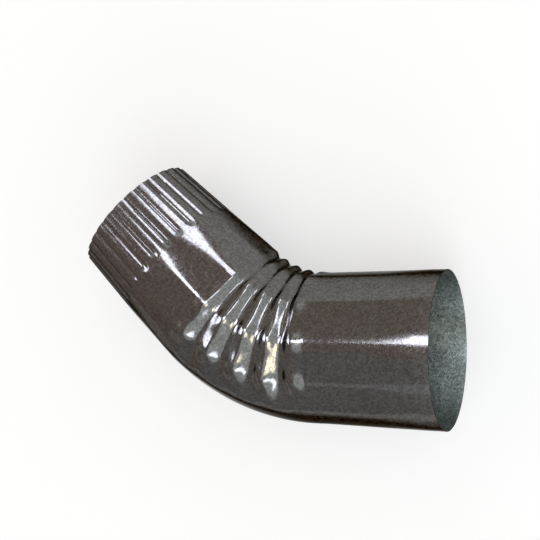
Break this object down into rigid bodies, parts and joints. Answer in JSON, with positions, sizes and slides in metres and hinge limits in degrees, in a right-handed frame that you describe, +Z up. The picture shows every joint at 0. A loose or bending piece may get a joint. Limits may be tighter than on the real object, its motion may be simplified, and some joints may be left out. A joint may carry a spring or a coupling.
{
  "type": "downspout elbow",
  "caption": "Round sheet-metal downspout elbow with a crimped spigot, a pleated bend and a plain round socket, turning rainwater through an angle between two lengths of pipe.",
  "frame": {"origin": "on the floor, under the middle of the elbow's bounding box as it lies on its side", "axes": "+X out of the socket along its axis, +Y towards the throat of the bend, +Z up, square to the plane of the bend"},
  "size_m": [0.2528, 0.177, 0.103],
  "materials": {
    "zinc_sheet": "gloss"
  },
  "bodies": {
    "root": {"elbow": "zinc_sheet"}
  },
  "joints": []
}
